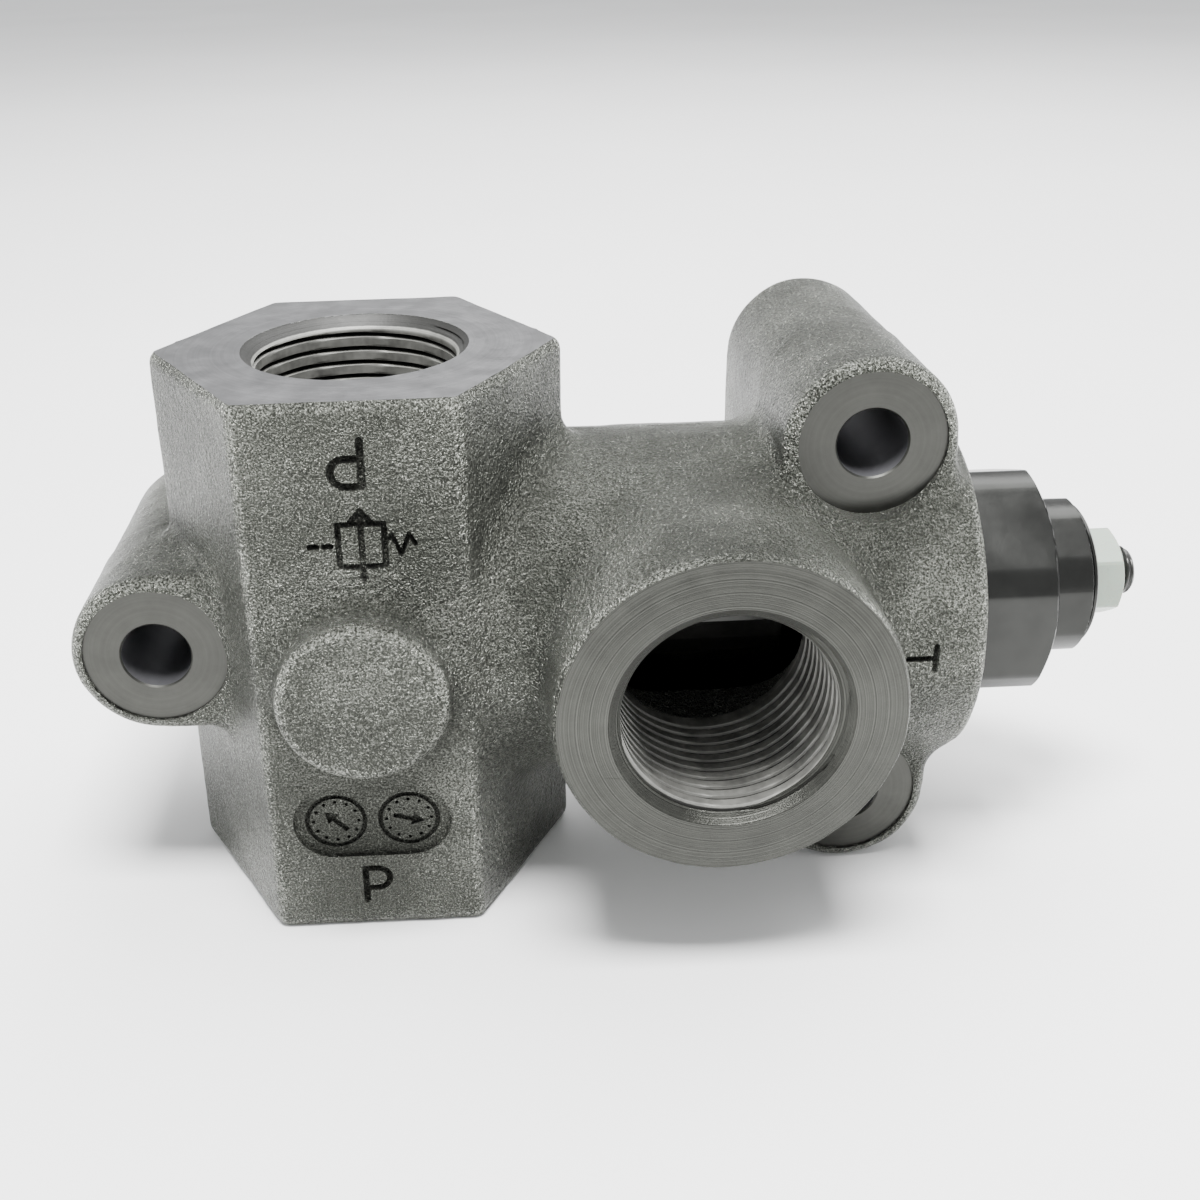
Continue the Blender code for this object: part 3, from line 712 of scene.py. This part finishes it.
def hex_piece(name, flats, turn_degrees, levels):
    """Hexagonal piece along X, skinned row by row.

    levels are (x, radius): the hexagon's corners are turned down to that radius there.
    """
    steps = 6 * 28
    rows = []
    for x, limit in levels:
        row = []
        for step in range(steps):
            angle = 2 * math.pi * step / steps
            from_flat = (angle + math.pi / 6) % (math.pi / 3) - math.pi / 6
            radius = min(flats / 2 / math.cos(from_flat), limit)
            turned_angle = angle + math.radians(turn_degrees)
            row.append((radius * math.cos(turned_angle), radius * math.sin(turned_angle), x))
        rows.append(row)
    return skin_rows(name, rows, place(turn=ALONG_X))


def chamfer_levels(start, end, corner_r, start_r, end_r):
    """Levels of a hexagon whose corners are turned to corner_r, with a 30 degree chamfer at each end."""
    slope = math.tan(math.radians(30))
    shares = [step / 7 for step in range(8)]
    levels = []
    for share in shares:
        limit = start_r + (corner_r - start_r) * share
        levels.append((start + (limit - start_r) * slope, limit))
    for share in shares:
        limit = corner_r + (end_r - corner_r) * share
        levels.append((end - (limit - end_r) * slope, limit))
    return levels


def finish_piece(piece, slot, body, node, materials, finish=None):
    """Give a new piece its material and put it in the place of a CAD node."""
    piece.data.materials.clear()
    piece.data.materials.append(materials[finish or slot])
    sharpen(piece, 24)
    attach(piece, body)
    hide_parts(node)


def copy_of(node, name):
    """New welded piece with a CAD node's shape."""
    source = frame["nodes"][node].data
    faces = [tuple(face.vertices) for face in source.polygons]
    piece = mesh_object(name, [tuple(vertex.co) for vertex in source.vertices], faces, Matrix.Identity(4))
    shape = bmesh.new()
    shape.from_mesh(piece.data)
    bmesh.ops.remove_doubles(shape, verts=shape.verts, dist=0.001 * METRE)
    shape.to_mesh(piece.data)
    shape.free()
    return piece


def put_on_core(hexagon, node, limits, clear_start, clear_end, core_r):
    """Join a new hexagon to the inner part of the CAD node that it replaces.

    limits is the outline along the cartridge that bounds what is kept of the node. The hexagon is first
    cleared from clear_start to clear_end, up to just inside the core's radius.
    """
    core = copy_of(node, node + "_core")
    combine(core, turned(node + "_limits", limits, place(turn=ALONG_X)), "INTERSECT")
    clear_r = core_r - CORE_OVERLAP
    inside = [(clear_start, clear_r), (clear_end, clear_r)]
    combine(hexagon, turned(node + "_inside", inside, place(turn=ALONG_X)))
    combine(hexagon, core, "UNION")


def make_head(materials):
    """Cartridge hexagon, milled on round bar, with its front edge turned to a chamfer, on its stem."""
    levels = chamfer_levels(HEAD_START, HEAD_END, HEAD_BAR_R, HEAD_BAR_R - 0.4, 16.9)
    levels.append((HEAD_END, 15.4))
    head = hex_piece("cartridge_head", HEAD_FLATS, HEAD_TURN, levels)
    step, stem_r, core_r = HEAD_START - 0.5, 17.0, 12.1
    limits = [(CHAMBER_START, stem_r), (step, stem_r), (step, core_r), (HEAD_END - 0.01, core_r)]
    put_on_core(head, "cartridge_body", limits, HEAD_START - 1, HEAD_END + 1, core_r)
    finish_piece(head, "black_steel", "valve", "cartridge_body", materials)


def make_cap(materials):
    """Adjuster cap: hexagon with a wide turned chamfer, a thin groove and a round lip at its end."""
    hex_end = CAP_END - CAP_LIP
    groove_r, lip_edge = CAP_LIP_R - 0.45, 0.25
    levels = chamfer_levels(CAP_START, hex_end, CAP_BAR_R, CAP_BAR_R - 0.3, CAP_LIP_R + 0.2)
    levels += [(hex_end, groove_r), (hex_end + lip_edge, groove_r), (hex_end + lip_edge, CAP_LIP_R),
               (CAP_END - lip_edge, CAP_LIP_R), (CAP_END, CAP_LIP_R - 0.3)]
    cap = hex_piece("adjuster_hexagon", CAP_FLATS, CAP_TURN, levels)
    hole_r = SCREW_R + 0.25
    hole = [(CAP_END - 6.0, hole_r), (CAP_END - 0.5, hole_r), (CAP_END + 0.5, hole_r + 1.0)]
    combine(cap, turned("cap_hole", hole, place(turn=ALONG_X), 64))
    step, stem_r, core_r = CAP_START - 0.5, 12.0, 8.8
    limits = [(CHAMBER_END, stem_r), (step, stem_r), (step, core_r), (CAP_END - 2, core_r)]
    put_on_core(cap, "adjuster_cap", limits, CAP_START - 1, CAP_END - 2.5, core_r)
    finish_piece(cap, "black_steel", "valve", "adjuster_cap", materials)


def make_nut(materials):
    """Moulded nylon lock nut with a washer face at the back and a chamfer in front."""
    washer_end = NUT_START + 0.35
    levels = [(NUT_START, 6.1), (washer_end, 6.2)]
    levels += chamfer_levels(washer_end, NUT_END, 7.35, 6.5, 6.25)
    levels.append((NUT_END, 6.0))
    nut = hex_piece("nylon_nut", NUT_FLATS, NUT_TURN, levels)
    hole_r = SCREW_R + 0.1
    hole = [(NUT_START - 1, hole_r), (NUT_END - 0.7, hole_r), (NUT_END + 0.3, hole_r + 1.0)]
    combine(nut, turned("nut_hole", hole, place(turn=ALONG_X), 64))
    finish_piece(nut, "white_nylon", "nut", "lock_nut", materials)


def make_screw(materials):
    """Adjusting screw with its thread, a rounded chamfer and a hexagon socket."""
    steps, per_turn = 72, 12
    rows = []
    for level in np.arange(SCREW_START, SCREW_END + 1e-6, SCREW_PITCH / per_turn):
        level = min(level, SCREW_END)
        from_end = min(level - SCREW_START, SCREW_END - level)
        limit = SCREW_R - SCREW_CHAMFER + min(from_end, SCREW_CHAMFER)
        row = []
        for step in range(steps):
            angle = 2 * math.pi * step / steps
            rise = abs(2 * ((level / SCREW_PITCH + step / steps) % 1.0) - 1)
            groove = SCREW_THREAD_DEPTH * min(max((rise - 0.15) / 0.75, 0), 1)
            radius = min(SCREW_R - groove, limit)
            row.append((radius * math.cos(angle), radius * math.sin(angle), level))
        rows.append(row)
    screw = skin_rows("threaded_screw", rows, place(turn=ALONG_X))
    clear_of_corners = 9.0
    socket = [(SCREW_END - SCREW_SOCKET_DEPTH, clear_of_corners), (SCREW_END + 1, clear_of_corners)]
    combine(screw, hex_piece("screw_socket", SCREW_SOCKET_FLATS, 0.0, socket))
    finish_piece(screw, "black_steel", "screw", "adjusting_screw", materials, "worn_black_steel")


SPRINGS = (     # node, joint that shortens it, that joint's longer travel in mm, and the spring's fixed end
    ("main_spring", "main_piston_lift", 5.0, 1),
    ("pilot_spring", "screw_travel", 3.125, 0),
)


def make_springs(materials):
    """Copies of the CAD springs, each put in the place of its node."""
    for node, joint, travel, fixed in SPRINGS:
        spring = copy_of(node, node + "_coil")
        finish_piece(spring, "spring_steel", "valve", node, materials)
        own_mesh(spring)


def make_cartridge(materials):
    make_springs(materials)
    make_head(materials)
    make_cap(materials)
    make_nut(materials)
    make_screw(materials)


# ---------------------------------------------------------------- materials

class Nodes:
    """Small helper that builds one node material."""

    def __init__(self, name):
        self.material = bpy.data.materials.new(name)
        self.material.use_nodes = True
        self.tree = self.material.node_tree
        self.shader = self.tree.nodes["Principled BSDF"]
        self.coordinates = self.add("ShaderNodeTexCoord").outputs["Object"]

    def add(self, kind, inputs=None, **settings):
        node = self.tree.nodes.new(kind)
        for key, value in settings.items():
            setattr(node, key, value)
        for key, value in (inputs or {}).items():
            self.feed(node.inputs[key], value)
        return node

    def feed(self, socket, value):
        if isinstance(value, bpy.types.NodeSocket):
            self.tree.links.new(value, socket)
        else:
            socket.default_value = value

    def math(self, operation, first, second=0.0):
        return self.add("ShaderNodeMath", {0: first, 1: second}, operation=operation).outputs[0]

    def noise(self, scale, detail=2.0, roughness=0.5):
        inputs = {"Vector": self.coordinates, "Scale": scale, "Detail": detail, "Roughness": roughness}
        return self.add("ShaderNodeTexNoise", inputs).outputs["Fac"]

    def spread(self, value, low, high, to_low=0.0, to_high=1.0):
        """Value mapped from low..high to to_low..to_high, and held there outside."""
        inputs = {"Value": value, "From Min": low, "From Max": high, "To Min": to_low, "To Max": to_high}
        return self.add("ShaderNodeMapRange", inputs).outputs["Result"]

    def ramp(self, value, *stops):
        node = self.add("ShaderNodeValToRGB", {"Fac": value})
        ramp = node.color_ramp
        while len(ramp.elements) < len(stops):
            ramp.elements.new(0.5)
        for element, (position, colour) in zip(ramp.elements, stops):
            element.position = position
            element.color = (*colour, 1.0)
        return node.outputs["Color"]

    def bump(self, height, strength, distance):
        inputs = {"Height": height, "Strength": strength, "Distance": distance}
        return self.add("ShaderNodeBump", inputs).outputs["Normal"]

    def finish(self, **sockets):
        """Set or link the shader's sockets, with _ for a space in their names."""
        for name, value in sockets.items():
            self.feed(self.shader.inputs[name.replace("_", " ")], value)
        return self.material


def scaled(colour, factor):
    return tuple(channel * factor for channel in colour)


def cast_skin(name, darker=1.0):
    """Shot-blasted sand-cast iron: fine grained, with grains that catch the light and a painted highlight
    on outer edges.
    """
    n = Nodes(name)
    grain = n.noise(3300.0, 2.0, 0.6)
    sand = n.noise(1150.0, 2.0, 0.5)
    cloud = n.noise(70.0, 3.0, 0.55)
    edge = n.spread(n.add("ShaderNodeAttribute", attribute_name="rim").outputs["Fac"], 0.10, 0.34)
    # Painted highlight: grain flecks turn brighter where the rim attribute marks an outer edge
    painted_edge_highlight = n.math("MULTIPLY", edge, n.spread(grain, 0.35, 0.65, 0.0, 0.26))
    height = n.math("ADD", grain, n.math("MULTIPLY", sand, 1.1))
    clouded = n.spread(cloud, 0.3, 0.7, 0.42, 0.58)
    tone = n.math("ADD", n.spread(grain, 0.35, 0.65, -0.20, 0.20), clouded)
    tone = n.math("ADD", tone, painted_edge_highlight)
    # darker scales every tone down; below 1 it paints shade into recessed marks
    colour = n.ramp(tone, (0.15, scaled((0.019, 0.0195, 0.0165), darker)),
                    (0.5, scaled((0.057, 0.0595, 0.051), darker)),
                    (0.95, scaled((0.36, 0.37, 0.33), darker)))
    rough = n.spread(grain, 0.35, 0.65, 0.40, 0.25)
    return n.finish(Base_Color=colour, Metallic=0.88, Roughness=rough, Normal=n.bump(height, 1.0, 0.0008))


def ring_radius(n, centres, plane):
    """Distance from the nearest turning centre, in the plane of two axis letters, as a node value."""
    split = n.add("ShaderNodeSeparateXYZ", {"Vector": n.coordinates}).outputs
    nearest = 1.0       # a metre, further than anything on the valve
    for centre in centres:
        squares = []
        for axis, middle in zip(plane, centre):
            offset = n.math("SUBTRACT", split[axis], middle)
            squares.append(n.math("MULTIPLY", offset, offset))
        nearest = n.math("MINIMUM", n.math("SQRT", n.math("ADD", *squares)), nearest)
    return nearest


def machined(name, centres, plane, lines, colour, rough, depth, streak, metallic=0.9, groove_r=None):
    """Turned or milled iron with tool rings round its centres.

    lines is the rings' frequency, depth their height in metres, and streak how much they vary in tone.
    Anything further out than groove_r, such as a thread's root, is painted darker as the groove's shade.
    """
    n = Nodes(name)
    radius = ring_radius(n, centres, plane)
    inputs = {"W": radius, "Scale": lines, "Detail": 4.0, "Roughness": 0.75}
    rings = n.add("ShaderNodeTexNoise", inputs, noise_dimensions="1D").outputs["Fac"]
    smear = n.noise(240.0, 3.0, 0.6)
    fine = n.noise(2600.0, 2.0, 0.6)
    height = n.math("ADD", n.math("MULTIPLY", rings, 0.8), n.math("MULTIPLY", fine, 0.35))
    smeared = n.spread(smear, 0.3, 0.7, 0.4, 0.6)
    tone = n.math("ADD", n.spread(rings, 0.3, 0.7, -streak, streak), smeared)
    darkest = 0.60
    # Painted shade: tone falls past groove_r, down into the thread's roots
    if groove_r:
        tone = n.math("SUBTRACT", tone, n.spread(radius, groove_r, groove_r + 0.3 * METRE, 0.0, 0.5))
        darkest = 0.10
    shade = n.ramp(tone, (0.2, scaled(colour, darkest)), (0.5, colour), (0.8, scaled(colour, 1.45)))
    roughness = n.spread(smear, 0.3, 0.7, rough - 0.05, rough + 0.06)
    return n.finish(Base_Color=shade, Metallic=metallic, Roughness=roughness,
                    Normal=n.bump(height, 0.5, depth))


def plain_metal(name, colour, rough, metallic=0.9):
    """Finished steel with faint handling marks."""
    n = Nodes(name)
    fine = n.noise(900.0, 3.0, 0.6)
    cloud = n.noise(130.0, 3.0, 0.6)
    shade = n.ramp(cloud, (0.3, scaled(colour, 0.86)), (0.7, scaled(colour, 1.16)))
    roughness = n.spread(cloud, 0.3, 0.7, rough - 0.02, rough + 0.03)
    return n.finish(Base_Color=shade, Metallic=metallic, Roughness=roughness,
                    Normal=n.bump(fine, 0.3, 0.00004))


def moulded(name, colour, rough, **sockets):
    """Moulded plastic or rubber with a faint bloom."""
    n = Nodes(name)
    cloud = n.noise(220.0)
    fine = n.noise(1500.0)
    shade = n.ramp(cloud, (0.3, scaled(colour, 0.93)), (0.7, colour))
    roughness = n.spread(cloud, 0.3, 0.7, rough - 0.05, rough + 0.05)
    return n.finish(Base_Color=shade, Metallic=0.0, Roughness=roughness,
                    Normal=n.bump(fine, 0.2, 0.00003), **sockets)


def make_materials():
    """Every material by its slot in the record, or by the finish of one of the casting's surfaces."""
    port_centre = [(AXIS.x, AXIS.y)]
    tank_centre = [(AXIS.x + TANK_X * METRE, AXIS.z)]
    lug_centres = [(AXIS.x + x * METRE, AXIS.z + z * METRE) for x, z in LUGS.values()]
    # groove_r paints shade into the thread roots
    threaded = {"lines": 2600.0, "colour": (0.20, 0.20, 0.185), "rough": 0.5, "depth": 0.00012,
                "streak": 0.1, "metallic": 0.35, "groove_r": (THREAD_MINOR_R + 0.35) * METRE}
    return {
        "cast": cast_skin("cast_iron_skin"),
        # Darker copy of the cast skin: painted shade in the recessed marks
        "recess_painted_shade": cast_skin("cast_iron_recess_painted_shade", 0.66),
        "milled": machined("milled_iron", port_centre, "XY", lines=1700.0,
                           colour=(0.145, 0.145, 0.148), rough=0.38, depth=0.00004, streak=0.08),
        "faced_barrel": machined("turned_iron", [(AXIS.y, AXIS.z)], "YZ", lines=2400.0,
                                 colour=(0.160, 0.160, 0.163), rough=0.38, depth=0.00006, streak=0.15),
        "faced_tank": machined("faced_iron", tank_centre, "XZ", lines=4600.0,
                               colour=(0.051, 0.052, 0.0465), rough=0.33, depth=0.0004, streak=0.42),
        "spot": machined("spot_faced_iron", lug_centres, "XZ", lines=1800.0,
                         colour=(0.050, 0.0505, 0.046), rough=0.38, depth=0.00001, streak=0.04),
        "tank_bore": machined("threaded_tank_iron", tank_centre, "XZ", **threaded),
        "port_bore": machined("threaded_port_iron", port_centre, "XY", **threaded),
        # Near-black bored iron: painted shade deep inside the bores
        "bore_painted_shade": plain_metal("bored_iron_painted_shade", (0.035, 0.035, 0.037), 0.5),
        "drilled": plain_metal("drilled_iron", (0.10, 0.10, 0.107), 0.42, 0.6),
        "black_steel": plain_metal("black_oxide_steel", (0.029, 0.0295, 0.028), 0.24),
        "worn_black_steel": plain_metal("worn_black_oxide_steel", (0.055, 0.055, 0.053), 0.36),
        "steel": plain_metal("ground_steel", (0.42, 0.42, 0.43), 0.3),
        "spring_steel": plain_metal("spring_steel", (0.25, 0.25, 0.27), 0.35),
        "brass": plain_metal("turned_brass", (0.58, 0.40, 0.14), 0.33),
        "white_nylon": moulded("white_nylon", (0.25, 0.295, 0.245), 0.3,
                               Subsurface_Weight=0.12, Subsurface_Scale=0.002),
        "rubber": moulded("black_rubber", (0.02, 0.02, 0.02), 0.6),
        "backup_plastic": moulded("backup_plastic", (0.7, 0.7, 0.67), 0.45),
    }


# ---------------------------------------------------------------- studio

def make_camera():
    """The photograph's camera."""
    down, yaw, roll = CAMERA_DOWN, CAMERA_YAW, CAMERA_ROLL
    forward = Vector((math.sin(yaw) * math.cos(down), math.cos(yaw) * math.cos(down), -math.sin(down)))
    right = forward.cross(Vector((0, 0, 1))).normalized()
    up = right.cross(forward)
    right, up = right * math.cos(roll) + up * math.sin(roll), up * math.cos(roll) - right * math.sin(roll)
    data = bpy.data.cameras.new("camera")
    data.lens = CAMERA_LENS
    data.shift_x, data.shift_y = CAMERA_SHIFT
    camera = bpy.data.objects.new("camera", data)
    bpy.context.scene.collection.objects.link(camera)
    turn = Matrix((right, up, -forward)).transposed().to_4x4()
    camera.matrix_world = Matrix.Translation(AXIS + CAMERA_AT * METRE) @ turn
    bpy.context.scene.camera = camera


def soft_light(name, size, power, location):
    """Area light that points at the valve."""
    data = bpy.data.lights.new(name, "AREA")
    data.shape = "RECTANGLE"
    data.size, data.size_y = size
    data.energy = power
    light = bpy.data.objects.new(name, data)
    bpy.context.scene.collection.objects.link(light)
    light.location = location
    towards_valve = Vector((0.0, 0.0, 0.04)) - Vector(location)
    light.rotation_euler = towards_valve.to_track_quat("-Z", "Y").to_euler()


def make_studio():
    """Two soft lights, a white world and a pale floor."""
    soft_light("key", (0.34, 0.22), 20.0, (-0.02, -0.18, 0.80))
    soft_light("top", (1.0, 1.0), 26.0, (0.25, 0.45, 1.0))
    world = bpy.data.worlds.new("studio")
    world.use_nodes = True
    background = world.node_tree.nodes["Background"]
    background.inputs["Color"].default_value = (0.96, 0.97, 0.98, 1)
    background.inputs["Strength"].default_value = 1.0
    bpy.context.scene.world = world
    half = 3.0
    corners = [(-half, -half, 0), (half, -half, 0), (half, half, 0), (-half, half, 0)]
    mesh = bpy.data.meshes.new("floor")
    mesh.from_pydata(corners, [], [(0, 1, 2, 3)])
    obj = bpy.data.objects.new("floor", mesh)
    bpy.context.scene.collection.objects.link(obj)
    n = Nodes("pale_floor")
    pale = n.ramp(n.noise(4.0), (0.3, (0.86, 0.86, 0.86)), (0.7, (0.9, 0.9, 0.9)))
    mesh.materials.append(n.finish(Base_Color=pale, Roughness=0.8))


def dress_cad_nodes(materials):
    """Carried-over CAD nodes take the finish of their slot in the record."""
    slots = {row["node"]: row["material_slot"] for row in frame["record"]["subparts"]}
    for name, obj in frame["nodes"].items():
        obj.data.materials.clear()
        obj.data.materials.append(materials.get(slots[name], materials["cast"]))


make_camera()
make_studio()
MATERIALS = make_materials()
dress_cad_nodes(MATERIALS)
casting = make_casting(MATERIALS)
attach(casting, "valve")
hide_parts("valve_body")
make_cartridge(MATERIALS)
